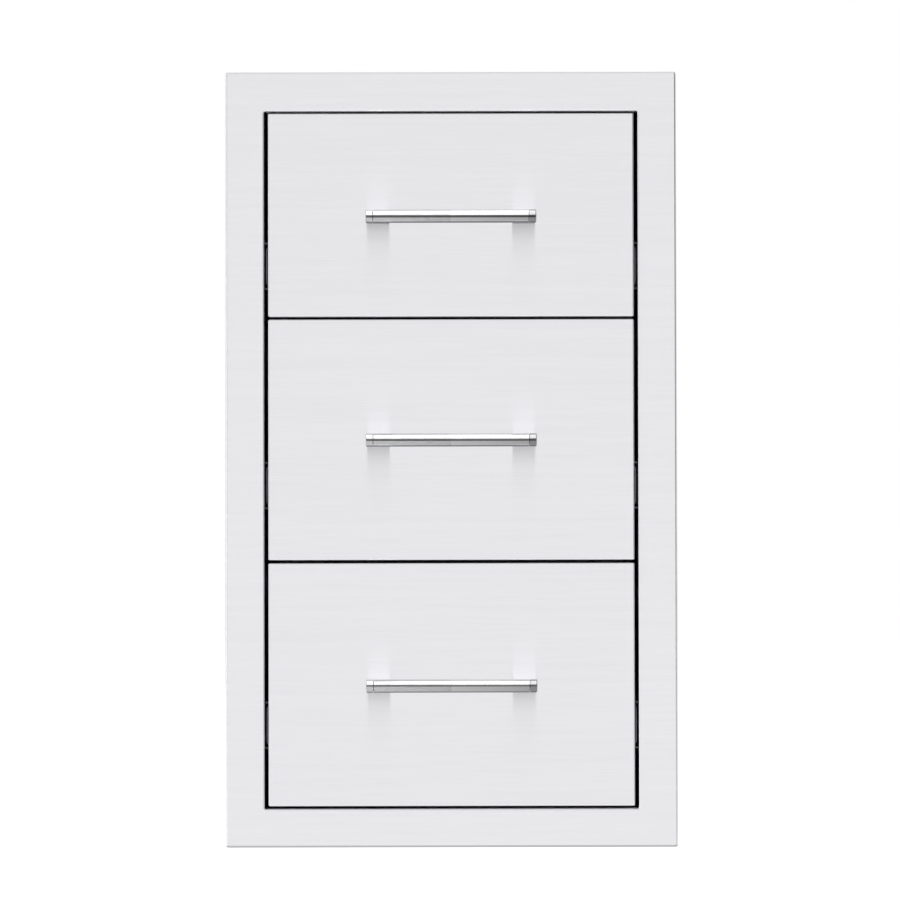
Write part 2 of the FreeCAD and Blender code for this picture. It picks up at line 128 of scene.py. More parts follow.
def brushed_sheet(name, colour, streak_colour):
    """Horizontally brushed stainless sheet.

    The grit leaves fine level lines that stretch each reflection up and down. The real lines are
    about 0.1 mm wide, too fine to show, so they are drawn about 1 mm wide. Wider, fainter bands
    lie over them where the belt wore.
    """
    material, output = new_material(name)
    tree = material.node_tree
    place = add(tree, "ShaderNodeTexCoord").outputs["Object"]
    facing = add(tree, "ShaderNodeNewGeometry").outputs["Normal"]
    xyz = add(tree, "ShaderNodeSeparateXYZ", {0: place})
    tilt = add(tree, "ShaderNodeSeparateXYZ", {0: facing})
    level = add(tree, "ShaderNodeMath", {0: tilt.outputs["Z"]}, operation="ABSOLUTE")
    across = add(tree, "ShaderNodeMix", {0: level.outputs[0], 2: xyz.outputs["Z"],
                                         3: xyz.outputs["Y"]})
    along = add(tree, "ShaderNodeMath", {0: xyz.outputs["X"], 1: xyz.outputs["Y"]})
    flat = add(tree, "ShaderNodeCombineXYZ", {"X": along.outputs[0], "Z": across.outputs[0]})
    fine = add(tree, "ShaderNodeMapping", {"Vector": flat.outputs[0],
                                           "Scale": (1 / GRAIN_LENGTH, 1, 1 / GRAIN_WIDTH)})
    broad = add(tree, "ShaderNodeMapping", {"Vector": flat.outputs[0],
                                            "Scale": (1 / STREAK_LENGTH, 1, 1 / STREAK_WIDTH)})
    grain = add(tree, "ShaderNodeTexNoise", {"Vector": fine.outputs[0], "Scale": 1,
                                             "Detail": 3, "Roughness": 0.6})
    bands = add(tree, "ShaderNodeTexNoise", {"Vector": broad.outputs[0], "Scale": 1, "Detail": 2})
    cloud = add(tree, "ShaderNodeTexNoise", {"Vector": place, "Scale": 6, "Detail": 1})
    both = add(tree, "ShaderNodeMix", {0: 0.4, 2: grain.outputs[0], 3: bands.outputs[0]})
    handled = add(tree, "ShaderNodeMix", {0: 0.25, 2: both.outputs[0], 3: cloud.outputs[0]})
    spread = add(tree, "ShaderNodeMapRange", {0: handled.outputs[0], 1: 0.32, 2: 0.68, 3: 0, 4: 1})
    tone = add(tree, "ShaderNodeMix", {0: spread.outputs[0], 6: linear(streak_colour),
                                       7: linear(colour)}, data_type="RGBA")
    rough = add(tree, "ShaderNodeMapRange", {0: cloud.outputs[0], 1: 0.3, 2: 0.7,
                                             3: BRUSHED_ROUGHNESS - 0.015,
                                             4: BRUSHED_ROUGHNESS + 0.015})
    bump = add(tree, "ShaderNodeBump", {"Height": grain.outputs[0], "Strength": 0.12,
                                        "Distance": 0.00003})
    upright = add(tree, "ShaderNodeCombineXYZ", {"Y": 0.02, "Z": 1.0})
    steel = add(tree, "ShaderNodeBsdfPrincipled", {
        "Base Color": tone.outputs[2], "Metallic": 1.0, "Roughness": rough.outputs[0],
        "Anisotropic": 1.0, "Tangent": upright.outputs[0], "Normal": bump.outputs[0]})
    tree.links.new(steel.outputs[0], output.inputs[0])
    return material


def finish_nodes(material, *names):
    """Give CAD nodes a material."""
    for name in names:
        for slot in nodes[name].material_slots:
            slot.material = material


def to_mesh_object(name, mesh, material):
    """A new object at the origin, in the scene, with one material."""
    made = bpy.data.objects.new(name, mesh)
    mesh.materials.clear()
    mesh.materials.append(material)
    bpy.context.scene.collection.objects.link(made)
    return made


def smooth_mesh(name, work):
    """A bmesh as a new smooth-shaded mesh."""
    mesh = bpy.data.meshes.new(name)
    work.to_mesh(mesh)
    work.free()
    mesh.shade_smooth()
    return mesh


def settle(piece):
    """Put a piece's modifiers into its mesh."""
    graph = bpy.context.evaluated_depsgraph_get()
    mesh = bpy.data.meshes.new_from_object(piece.evaluated_get(graph))
    piece.modifiers.clear()
    piece.data = mesh
    piece.data.name = piece.name
    return piece


def round_rectangle(half_width, low_z, high_z, corner, y):
    """Points of a level-sided loop with round corners, in the plane at y."""
    points = []
    centres = ((half_width - corner, high_z - corner), (corner - half_width, high_z - corner),
               (corner - half_width, low_z + corner), (half_width - corner, low_z + corner))
    for quarter, (x, z) in enumerate(centres):
        for step in range(CORNER_STEPS + 1):
            angle = math.pi / 2 * (quarter + step / CORNER_STEPS)
            points.append((x + corner * math.cos(angle), y, z + corner * math.sin(angle)))
    return points


def folded_frame(name, box, material):
    """The frame: its section carried round from the rear lip over the face into the opening."""
    low, high = box
    front = low.y
    rear = front + FRAME_DEPTH
    bend_angles = [math.pi / 2 * step / BEND_STEPS for step in range(BEND_STEPS + 1)]
    loops = []

    def outer_loop(inset, y):
        loops.append(round_rectangle(high.x - inset, low.z + inset, high.z - inset,
                                     max(OUTER_CORNER - inset, LEAST_CORNER), y))

    def opening_loop(outset, y):
        loops.append(round_rectangle(OPENING_HALF_WIDTH + outset, OPENING_LOW - outset,
                                     OPENING_HIGH + outset, OPENING_CORNER + outset, y))

    outer_loop(REAR_LIP, rear)
    for angle in bend_angles:
        outer_loop(OUTER_BEND * (1 - math.sin(angle)), rear - OUTER_BEND * (1 - math.cos(angle)))
    for angle in bend_angles:
        outer_loop(OUTER_BEND * (1 - math.cos(angle)), front + OUTER_BEND * (1 - math.sin(angle)))
    for angle in bend_angles:
        opening_loop(OPENING_BEND * (1 - math.sin(angle)),
                     front + OPENING_BEND * (1 - math.cos(angle)))
    opening_loop(0.0, high.y)
    work = bmesh.new()
    rings = [[work.verts.new(spot) for spot in loop] for loop in loops]
    for near, far in zip(rings, rings[1:]):
        for step in range(len(near)):
            follow = (step + 1) % len(near)
            work.faces.new((near[step], near[follow], far[follow], far[step]))
    work.normal_update()
    widest = max(work.faces, key=lambda face: face.calc_area())
    if widest.normal.y > 0:
        bmesh.ops.reverse_faces(work, faces=work.faces[:])
    piece = to_mesh_object(name, smooth_mesh(name, work), material)
    sheet = piece.modifiers.new("sheet", "SOLIDIFY")
    sheet.thickness, sheet.offset = FRAME_SHEET, -1
    normals = piece.modifiers.new("normals", "WEIGHTED_NORMAL")
    normals.weight, normals.keep_sharp = 100, True
    return settle(piece)


face_steel = brushed_sheet("brushed 304 stainless sheet", FRAME_STEEL, FRAME_STEEL_STREAK)
face_frame = folded_frame("folded_frame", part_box("face_frame"), face_steel)
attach(face_frame, "cabinet")
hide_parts("face_frame")


# CASE
# Five plain folded sheets of 1 mm 304 stainless behind the frame, left in the mill's 2B finish:
# a soft grey with a faint cloud and rolling lines, not polished.
CASE_STEEL = "#C3C4C6"
CASE_STEEL_DULL = "#B7B8BB"
ROLLING_LINES_PER_METRE = (140, 4, 140)


def mill_sheet(name, colour, dull_colour):
    """Cold-rolled stainless in a 2B mill finish: dull, smooth, with faint rolling marks."""
    material, output = new_material(name)
    tree = material.node_tree
    place = add(tree, "ShaderNodeTexCoord").outputs["Object"]
    rolled = add(tree, "ShaderNodeMapping", {"Vector": place, "Scale": ROLLING_LINES_PER_METRE})
    lines = add(tree, "ShaderNodeTexNoise", {"Vector": rolled.outputs[0], "Scale": 1, "Detail": 3})
    cloud = add(tree, "ShaderNodeTexNoise", {"Vector": place, "Scale": 14, "Detail": 4})
    both = add(tree, "ShaderNodeMix", {0: 0.3, 2: lines.outputs[0], 3: cloud.outputs[0]})
    spread = add(tree, "ShaderNodeMapRange", {0: both.outputs[0], 1: 0.3, 2: 0.7, 3: 0, 4: 1})
    tone = add(tree, "ShaderNodeMix", {0: spread.outputs[0], 6: linear(dull_colour),
                                       7: linear(colour)}, data_type="RGBA")
    rough = add(tree, "ShaderNodeMapRange", {0: cloud.outputs[0], 1: 0.3, 2: 0.7, 3: 0.33, 4: 0.36})
    bump = add(tree, "ShaderNodeBump", {"Height": lines.outputs[0], "Strength": 0.1,
                                        "Distance": 0.00005})
    steel = add(tree, "ShaderNodeBsdfPrincipled", {
        "Base Color": tone.outputs[2], "Metallic": 1.0, "Roughness": rough.outputs[0],
        "Normal": bump.outputs[0]})
    tree.links.new(steel.outputs[0], output.inputs[0])
    return material


mill_steel = mill_sheet("2B mill finish stainless sheet", CASE_STEEL, CASE_STEEL_DULL)
finish_nodes(mill_steel, "case_side_left", "case_side_right", "case_top", "case_bottom", "case_back")


# DRAWER FRONTS
# Each front is a pan of 1 mm stainless, brushed as the face frame is. Its four sides are folded
# back on a tight bend, and its corners are welded and ground round.
FRONT_SHEET = 0.001
FRONT_BEND = 0.0015
FRONT_BEND_STEPS = 6
FRONT_STEEL = "#E8E7EA"
FRONT_STEEL_STREAK = "#E1E0E3"


def front_skin(drawer, material):
    """The folded skin of one front, in the place of its CAD node."""
    low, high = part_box(drawer + "_front_skin")
    shell = bmesh.new()
    bmesh.ops.create_cube(shell, size=1.0)
    for corner in shell.verts:
        corner.co = Vector([a + (c + 0.5) * (b - a) for a, b, c in zip(low, high, corner.co)])
    back = [f for f in shell.faces if f.normal.y > 0.5]
    bmesh.ops.delete(shell, geom=back, context="FACES_ONLY")
    bmesh.ops.recalc_face_normals(shell, faces=shell.faces[:])
    if next(f for f in shell.faces if abs(f.normal.y) > 0.5).normal.y > 0:
        bmesh.ops.reverse_faces(shell, faces=shell.faces[:])
    skin = to_mesh_object(drawer + "_skin", smooth_mesh(drawer + "_skin", shell), material)
    bend = skin.modifiers.new("bend", "BEVEL")
    bend.width, bend.segments, bend.limit_method = FRONT_BEND, FRONT_BEND_STEPS, "ANGLE"
    sheet = skin.modifiers.new("sheet", "SOLIDIFY")
    sheet.thickness, sheet.offset = FRONT_SHEET, -1
    normals = skin.modifiers.new("normals", "WEIGHTED_NORMAL")
    normals.weight, normals.keep_sharp = 100, True
    return settle(skin)


front_steel = brushed_sheet("brushed 304 stainless front", FRONT_STEEL, FRONT_STEEL_STREAK)
for drawer in DRAWERS:
    skin = front_skin(drawer, front_steel)
    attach(skin, drawer + "_drawer")
    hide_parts(drawer + "_front_skin")


# FRONT LINERS AND DRAWER BOXES
# An inner pan closes each front and carries the box, a pan of 1 mm stainless with hemmed top
# edges. Both are left in the mill finish.
for drawer in DRAWERS:
    finish_nodes(mill_steel, drawer + "_front_liner", drawer + "_drawer_box")


# BAR HANDLES
# A 12.7 mm stainless bar with a turned cap pressed on each end and two flat posts welded to its
# back, screwed from inside the front. The bar is drawn and polished lengthwise.
BAR_STEEL = "#EDEDEE"
BAR_STEEL_STREAK = "#D2D3D4"
# Painted shade: the dark grey under the bars, caps and posts, and on their lower halves.
PAINTED_UNDER_SHADE = "#5C5C5E"
# Painted shade in the groove between bar and cap.
NECK_PAINTED_SHADE = "#38383A"
DRAW_LINES_PER_METRE = (120, 3000, 3000)
BAR_ROUND = 96
TURNED_SHARP_DEGREES = 32
SEAM_WIDTH = 0.0006
SEAM_DEPTH = 0.0012
NECK_MARGIN = 0.00001
CAP_END_RADIUS = 0.0011
CAP_END_STEPS = 6
POST_WIDTH = 0.022
POST_EDGE = 0.0006
SADDLE_GAP = 0.00006
SADDLE_STEPS = 12


def turned(name, profile, axis_y, axis_z, material):
    """A solid turned about a level axis along X, from its profile of (x, radius) points."""
    work = bmesh.new()
    rings = []
    for x, radius in profile:
        if radius == 0:
            rings.append([work.verts.new((x, axis_y, axis_z))])
            continue
        ring = []
        for step in range(BAR_ROUND):
            angle = 2 * math.pi * step / BAR_ROUND
            ring.append(work.verts.new((x, axis_y + radius * math.cos(angle),
                                        axis_z + radius * math.sin(angle))))
        rings.append(ring)
    for near, far in zip(rings, rings[1:]):
        for step in range(BAR_ROUND):
            follow = (step + 1) % BAR_ROUND
            if len(near) == 1:
                work.faces.new((near[0], far[step], far[follow]))
            elif len(far) == 1:
                work.faces.new((near[step], far[0], near[follow]))
            else:
                work.faces.new((near[step], far[step], far[follow], near[follow]))
    bmesh.ops.recalc_face_normals(work, faces=work.faces[:])
    mesh = smooth_mesh(name, work)
    mesh.set_sharp_from_angle(angle=math.radians(TURNED_SHARP_DEGREES))
    return to_mesh_object(name, mesh, material)


def polished_bar(name, colour, streak_colour, right_colour, roughness, joint=1.0):
    """Drawn stainless bar, polished lengthwise: near a mirror, with short fine draw lines.

    The underside is mixed towards a dark grey as painted shade, standing for a dark reflection
    under the bar, and the lower half takes the same painted shade, deepening towards the right.
    The right-hand half takes its own colour. Past the joint, a distance from the middle, the neck
    between bar and cap is painted dark as shade in its groove.
    """
    material, output = new_material(name)
    tree = material.node_tree
    place = add(tree, "ShaderNodeTexCoord").outputs["Object"]
    drawn = add(tree, "ShaderNodeMapping", {"Vector": place, "Scale": DRAW_LINES_PER_METRE})
    lines = add(tree, "ShaderNodeTexNoise", {"Vector": drawn.outputs[0], "Scale": 1, "Detail": 3})
    spread = add(tree, "ShaderNodeMapRange", {0: lines.outputs[0], 1: 0.35, 2: 0.65, 3: 0, 4: 1})
    tone = add(tree, "ShaderNodeMix", {0: spread.outputs[0], 6: linear(streak_colour),
                                       7: linear(colour)}, data_type="RGBA")
    xyz = add(tree, "ShaderNodeSeparateXYZ", {0: place})
    right = add(tree, "ShaderNodeMath", {0: xyz.outputs["X"], 1: 0.0}, operation="GREATER_THAN")
    sided = add(tree, "ShaderNodeMix", {0: right.outputs[0], 6: tone.outputs[2],
                                        7: linear(right_colour)}, data_type="RGBA")
    facing = add(tree, "ShaderNodeNewGeometry").outputs["Normal"]
    tilt = add(tree, "ShaderNodeSeparateXYZ", {0: facing})
    # Painted shade: the underside is mixed towards a dark grey, standing for a dark reflection below.
    under = add(tree, "ShaderNodeMapRange", {0: tilt.outputs["Z"], 1: -0.72, 2: -0.92, 3: 0, 4: 1},
                interpolation_type="SMOOTHSTEP")
    # Painted shade: the lower half darkens, more towards the right.
    lower = add(tree, "ShaderNodeMapRange", {0: tilt.outputs["Z"], 1: 0.15, 2: -0.05, 3: 0, 4: 1})
    onward = add(tree, "ShaderNodeMapRange", {0: xyz.outputs["X"], 1: -0.06, 2: 0.075, 3: 0, 4: 0.42})
    lower_shade_mask = add(tree, "ShaderNodeMath", {0: lower.outputs[0], 1: onward.outputs[0]},
                 operation="MULTIPLY")
    lower_shaded = add(tree, "ShaderNodeMix", {0: lower_shade_mask.outputs[0], 6: sided.outputs[2],
                                       7: linear(PAINTED_UNDER_SHADE)}, data_type="RGBA")
    under_shaded = add(tree, "ShaderNodeMix", {0: under.outputs[0], 6: lower_shaded.outputs[2],
                                         7: linear(PAINTED_UNDER_SHADE)}, data_type="RGBA")
    # Painted shade: past the joint the neck in the groove is painted dark.
    outward = add(tree, "ShaderNodeMath", {0: xyz.outputs["X"]}, operation="ABSOLUTE")
    in_neck = add(tree, "ShaderNodeMath", {0: outward.outputs[0], 1: joint}, operation="GREATER_THAN")
    neck_shaded = add(tree, "ShaderNodeMix", {0: in_neck.outputs[0], 6: under_shaded.outputs[2],
                                         7: linear(NECK_PAINTED_SHADE)}, data_type="RGBA")
    rough = add(tree, "ShaderNodeMapRange", {0: lines.outputs[0], 1: 0.3, 2: 0.7,
                                             3: roughness - 0.03, 4: roughness + 0.05})
    bump = add(tree, "ShaderNodeBump", {"Height": lines.outputs[0], "Strength": 0.15,
                                        "Distance": 0.00003})
    steel = add(tree, "ShaderNodeBsdfPrincipled", {
        "Base Color": neck_shaded.outputs[2], "Metallic": 1.0, "Roughness": rough.outputs[0],
        "Normal": bump.outputs[0]})
    tree.links.new(steel.outputs[0], output.inputs[0])
    return material


def round_end(x, radius, corner, towards):
    """Profile points of a rounded end at x, from the axis out; towards is -1 or 1."""
    points = [(x, 0.0)]
    for step in range(CAP_END_STEPS + 1):
        angle = math.radians(90 * step / CAP_END_STEPS)
        points.append((x - towards * corner * (1 - math.cos(angle)),
                       radius - corner * (1 - math.sin(angle))))
    return points


def handle_post(name, x_range, face_y, axis, radius, half_height, material):
    """A flat post from the front to the back of the bar, its end hollowed to sit on the bar."""
    reach = math.asin(half_height / radius)
    outline = [(face_y, -half_height), (face_y, half_height)]
    for step in range(SADDLE_STEPS + 1):
        angle = reach - 2 * reach * step / SADDLE_STEPS
        outline.append((axis.y + radius * math.cos(angle), radius * math.sin(angle)))
    work = bmesh.new()
    ends = [[work.verts.new((x, y, axis.z + z)) for y, z in outline] for x in x_range]
    work.faces.new(ends[0])
    work.faces.new(list(reversed(ends[1])))
    for step in range(len(outline)):
        follow = (step + 1) % len(outline)
        work.faces.new((ends[0][step], ends[1][step], ends[1][follow], ends[0][follow]))
    bmesh.ops.recalc_face_normals(work, faces=work.faces[:])
    post = to_mesh_object(name, smooth_mesh(name, work), material)
    edge = post.modifiers.new("edge", "BEVEL")
    edge.width, edge.segments, edge.limit_method, edge.angle_limit = POST_EDGE, 3, "ANGLE", 0.7
    normals = post.modifiers.new("normals", "WEIGHTED_NORMAL")
    normals.weight = 100
    return settle(post)


def joined(name, pieces):
    """Several pieces of one kind as one mesh object."""
    work = bmesh.new()
    for piece in pieces:
        work.from_mesh(piece.data)
    mesh = bpy.data.meshes.new(name)
    work.to_mesh(mesh)
    work.free()
    material = pieces[0].data.materials[0]
    for piece in pieces:
        bpy.data.objects.remove(piece)
    return to_mesh_object(name, mesh, material)


bar_steel = polished_bar("polished stainless bar", BAR_STEEL, BAR_STEEL_STREAK, BAR_STEEL, 0.12,
                         joint=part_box("top_handle_bar")[1].x - SEAM_WIDTH - NECK_MARGIN)
cap_steel = polished_bar("turned stainless cap", "#EDEDEE", "#DFDFE1", "#C3C3C5", 0.14)
post_steel = polished_bar("satin stainless post", "#E4E4E6", "#DCDCDE", "#E0E0E2", 0.28)
for drawer in DRAWERS:
    bar_low, bar_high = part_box(drawer + "_handle_bar")
    cap_low, cap_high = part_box(drawer + "_handle_caps")
    post_low, post_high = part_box(drawer + "_handle_posts")
    axis = (bar_low + bar_high) / 2
    radius = (bar_high.z - bar_low.z) / 2
    neck = radius - SEAM_DEPTH
    bar = turned(drawer + "_bar", [
        (bar_low.x, 0.0), (bar_low.x, neck), (bar_low.x + SEAM_WIDTH, neck),
        (bar_low.x + SEAM_WIDTH, radius), (bar_high.x - SEAM_WIDTH, radius),
        (bar_high.x - SEAM_WIDTH, neck), (bar_high.x, neck), (bar_high.x, 0.0)],
        axis.y, axis.z, bar_steel)
    caps = []
    for side, (outer, inner) in enumerate(((cap_low.x, bar_low.x), (cap_high.x, bar_high.x))):
        towards = (-1, 1)[side]
        profile = round_end(outer, radius, CAP_END_RADIUS, towards)
        profile += [(inner, radius), (inner, 0.0)]
        caps.append(turned(drawer + "_cap" + str(side), profile, axis.y, axis.z, cap_steel))
    caps = joined(drawer + "_caps", caps)
    spans = ((post_low.x, post_low.x + POST_WIDTH), (post_high.x - POST_WIDTH, post_high.x))
    posts = [handle_post(drawer + "_post" + str(side), span, post_high.y, axis,
                         radius + SADDLE_GAP, (post_high.z - post_low.z) / 2, post_steel)
             for side, span in enumerate(spans)]
    posts = joined(drawer + "_posts", posts)
    for piece, node, slot in ((bar, "_handle_bar", "bar_stainless"),
                              (caps, "_handle_caps", "cap_stainless"),
                              (posts, "_handle_posts", "post_stainless")):
        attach(piece, drawer + "_drawer")
        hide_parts(drawer + node)


# TELESCOPIC SLIDES
# Three roll-formed steel rails a side, bright zinc plated, with pressed cages that keep rows of
# hardened steel balls apart, and a moulded rubber bumper at the rear.
BALL_RADIUS = 0.00198
BALL_FACET_RADIUS = 0.00193
BALL_GAP = 0.050
BALLS_IN_ROW = 4
SLIDE_MIDDLE = 0.229


def plated(name, colour, dull_colour, roughness, end_colour=None):
    """Bright zinc plate on rolled steel: a cool grey with a faint bloom.

    Strip is plated before it is cut to length, so a rail's cut ends may take another colour. For
    the rails that colour is partly the bare cut steel and partly painted shade, for the rail ends
    deep in the side gaps.
    """
    material, output = new_material(name)
    tree = material.node_tree
    place = add(tree, "ShaderNodeTexCoord").outputs["Object"]
    bloom = add(tree, "ShaderNodeTexNoise", {"Vector": place, "Scale": 60, "Detail": 5})
    spread = add(tree, "ShaderNodeMapRange", {0: bloom.outputs[0], 1: 0.35, 2: 0.65, 3: 0, 4: 1})
    tone = add(tree, "ShaderNodeMix", {0: spread.outputs[0], 6: linear(dull_colour),
                                       7: linear(colour)}, data_type="RGBA")
    rough = add(tree, "ShaderNodeMapRange", {0: bloom.outputs[0], 1: 0.3, 2: 0.7,
                                             3: roughness, 4: roughness + 0.06})
    # Faces across the length take end_colour: on the rails partly bare cut steel, partly painted shade.
    facing = add(tree, "ShaderNodeNewGeometry").outputs["True Normal"]
    tilt = add(tree, "ShaderNodeSeparateXYZ", {0: facing})
    endwise = add(tree, "ShaderNodeMath", {0: tilt.outputs["Y"]}, operation="ABSOLUTE")
    is_end = add(tree, "ShaderNodeMath", {0: endwise.outputs[0], 1: 0.7}, operation="GREATER_THAN")
    sheared_and_shaded = add(tree, "ShaderNodeMix", {0: is_end.outputs[0], 6: tone.outputs[2],
                                          7: linear(end_colour or colour)}, data_type="RGBA")
    steel = add(tree, "ShaderNodeBsdfPrincipled", {
        "Base Color": sheared_and_shaded.outputs[2], "Metallic": 1.0, "Roughness": rough.outputs[0]})
    tree.links.new(steel.outputs[0], output.inputs[0])
    return material


# The dark end colour is partly bare cut steel and partly painted shade for the slide ends seen deep in the
# side gaps.
rail_zinc = plated("bright zinc plated rail", "#C9CED2", "#BEC3C8", 0.22, end_colour="#626467")
cage_zinc = plated("zinc plated pressed cage", "#BDBDB4", "#A9A99F", 0.32)
ball_steel = plated("hardened bearing steel", "#DADCDF", "#D0D2D5", 0.06)
rubber, rubber_output = new_material("moulded black rubber")
rubber_place = add(rubber.node_tree, "ShaderNodeTexCoord").outputs["Object"]
rubber_grit = add(rubber.node_tree, "ShaderNodeTexNoise", {"Vector": rubber_place, "Scale": 900})
rubber_bump = add(rubber.node_tree, "ShaderNodeBump", {"Height": rubber_grit.outputs[0],
                                                       "Strength": 0.2, "Distance": 0.0001})
rubber_body = add(rubber.node_tree, "ShaderNodeBsdfPrincipled", {
    "Base Color": linear("#26262A"), "Roughness": 0.7, "Normal": rubber_bump.outputs[0]})
rubber.node_tree.links.new(rubber_body.outputs[0], rubber_output.inputs[0])


def scatter_tree(name, pattern, material):
    """Geometry nodes that set a copy of a pattern object on each point, turned as it faces."""
    tree = bpy.data.node_groups.new(name, "GeometryNodeTree")
    tree.interface.new_socket("Geometry", in_out="INPUT", socket_type="NodeSocketGeometry")
    size = tree.interface.new_socket("Size", in_out="INPUT", socket_type="NodeSocketFloat")
    size.default_value = 1.0
    tree.interface.new_socket("Geometry", in_out="OUTPUT", socket_type="NodeSocketGeometry")
    given = add(tree, "NodeGroupInput")
    facing = add(tree, "GeometryNodeInputNamedAttribute", {"Name": "facing"}, data_type="FLOAT_VECTOR")
    turned_to = add(tree, "FunctionNodeAlignRotationToVector", {"Vector": facing.outputs[0]}, axis="Z")
    source = add(tree, "GeometryNodeObjectInfo", {"Object": pattern})
    spread = add(tree, "GeometryNodeInstanceOnPoints", {
        "Points": given.outputs["Geometry"], "Instance": source.outputs["Geometry"],
        "Rotation": turned_to.outputs[0], "Scale": given.outputs["Size"]})
    real = add(tree, "GeometryNodeRealizeInstances", {"Geometry": spread.outputs[0]})
    finish = add(tree, "GeometryNodeSetMaterial", {"Geometry": real.outputs[0], "Material": material})
    result = add(tree, "NodeGroupOutput")
    tree.links.new(finish.outputs[0], result.inputs[0])
    return tree, size.identifier


def scattered(name, spots, tree, size_socket, size, material):
    """One mesh object of the tree's pattern at spots, each a place and the way it faces."""
    mesh = bpy.data.meshes.new(name)
    mesh.from_pydata([place for place, facing in spots], [], [])
    facings = mesh.attributes.new("facing", "FLOAT_VECTOR", "POINT")
    for index, (place, facing) in enumerate(spots):
        facings.data[index].vector = facing
    piece = to_mesh_object(name, mesh, material)
    scatter = piece.modifiers.new("scatter", "NODES")
    scatter.node_group = tree
    scatter[size_socket] = size
    settle(piece)
    if "facing" in piece.data.attributes:
        piece.data.attributes.remove(piece.data.attributes["facing"])
    return piece


def pattern_object(name, work):
    """A hidden object that the geometry nodes copy."""
    return bpy.data.objects.new(name, smooth_mesh(name, work))


ball_work = bmesh.new()
bmesh.ops.create_icosphere(ball_work, subdivisions=3, radius=1.0)
ball_tree, ball_size = scatter_tree("balls", pattern_object("ball pattern", ball_work), ball_steel)


def ball_spots(drawer, row):
    """Middles of the balls of both slides, spaced along the cages as in the solids."""
    low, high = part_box(drawer + row)
    spots = []
    for x in (low.x + BALL_FACET_RADIUS, high.x - BALL_FACET_RADIUS):
        for z in (low.z + BALL_FACET_RADIUS, high.z - BALL_FACET_RADIUS):
            for place in range(BALLS_IN_ROW):
                y = SLIDE_MIDDLE + BALL_GAP * (place - (BALLS_IN_ROW - 1) / 2)
                spots.append(((x, y, z), (0, 0, 1)))
    return spots


for drawer in DRAWERS:
    for side in ("left", "right"):
        finish_nodes(rail_zinc, *[drawer + rail + side for rail in
                                  ("_cabinet_rail_", "_centre_rail_", "_drawer_rail_")])
    finish_nodes(cage_zinc, drawer + "_outer_cages", drawer + "_inner_cages")
    finish_nodes(rubber, drawer + "_slide_bumpers")
    for row in ("_outer", "_inner"):
        balls = scattered(drawer + row + "_round_balls", ball_spots(drawer, row + "_balls"),
                          ball_tree, ball_size, BALL_RADIUS, ball_steel)
        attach(balls, drawer + row + "_ball_cages")
        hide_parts(drawer + row + "_balls")


# FASTENERS
# Cross-recess pan head screws of A2 stainless hold each box to its front and to its rails. Pop
# rivets hold the cabinet rails and the back panel, and spot welds the case's top and bottom.
HEAD_ROUND = 24
SCREW_RADIUS = 0.0032
RIVET_RADIUS = 0.0031
WELD_RADIUS = 0.0026
HEAD_SHARP_DEGREES = 35
ALONG_RAIL = (0.030, 0.130, 0.225, 0.420)
ALONG_BOX = (0.08, 0.225, 0.37)
BOX_SHEET = 0.001
FRONT_SCREW_X = 0.11
FRONT_SCREW_INSET = 0.035
RAIL_WEB = 0.1687
CASE_FACE = 0.1812
BACK_FACE = 0.506
BACK_RIVET_X = 0.1745
BACK_RIVET_FOOT = 0.0665
BACK_RIVET_GAP = 0.1
BACK_RIVETS = 7
WELD_FACE = 0.1822
WELD_LEVELS = (0.0362, 0.6968)
WELD_FRONT = 0.04
WELD_GAP = 0.105
WELDS_IN_ROW = 5


def ring_points(radius, level):
    """A level circle of the pattern of a head, which stands on its base at level 0."""
    steps = [2 * math.pi * step / HEAD_ROUND for step in range(HEAD_ROUND)]
    return [(radius * math.cos(angle), radius * math.sin(angle), level) for angle in steps]


def cross_points(reach, half_width, level):
    """A level cross with as many points as a circle of the pattern, for the driver's recess."""
    middle = (reach + half_width) / 2
    arm = [(reach, 0), (reach, half_width), (middle, half_width), (half_width, half_width),
           (half_width, middle), (half_width, reach)]
    points = list(arm)
    for quarter in range(3):
        points += [(-y, x) for x, y in points[-len(arm):]]
    return [(x, y, level) for x, y in points]


def head_pattern(name, rings):
    """A closed pattern object from its rings of points, base first."""
    work = bmesh.new()
    made = [[work.verts.new(spot) for spot in ring] for ring in rings]
    for near, far in zip(made, made[1:]):
        for step in range(HEAD_ROUND):
            follow = (step + 1) % HEAD_ROUND
            work.faces.new((near[step], near[follow], far[follow], far[step]))
    work.faces.new(list(reversed(made[0])))
    work.faces.new(made[-1])
    bmesh.ops.recalc_face_normals(work, faces=work.faces[:])
    pattern = pattern_object(name, work)
    pattern.data.set_sharp_from_angle(angle=math.radians(HEAD_SHARP_DEGREES))
    return pattern


screw_steel = plated("A2 stainless screw", "#D2D3D5", "#C6C7C9", 0.20)
rivet_steel = plated("stainless pop rivet", "#C6C7C9", "#BBBCBE", 0.26)
weld_steel = plated("spot weld on stainless", "#B4AFA6", "#A8A298", 0.34)
screw_head = head_pattern("screw head", [
    ring_points(1.0, 0.0), ring_points(1.0, 0.20), ring_points(0.95, 0.32), ring_points(0.80, 0.40),
    cross_points(0.56, 0.13, 0.43), cross_points(0.36, 0.09, 0.14)])
rivet_head = head_pattern("rivet head", [
    ring_points(1.0, 0.0), ring_points(0.97, 0.13), ring_points(0.82, 0.27), ring_points(0.58, 0.36),
    ring_points(0.36, 0.38), ring_points(0.31, 0.30), ring_points(0.27, 0.24)])
weld_head = head_pattern("spot weld", [
    ring_points(1.0, 0.0), ring_points(0.97, 0.05), ring_points(0.84, 0.06), ring_points(0.68, 0.02),
    ring_points(0.30, 0.015)])
screw_tree, screw_size = scatter_tree("screws", screw_head, screw_steel)
rivet_tree, rivet_size = scatter_tree("rivets", rivet_head, rivet_steel)
weld_tree, weld_size = scatter_tree("spot welds", weld_head, weld_steel)
rivet_spots, weld_spots = [], []
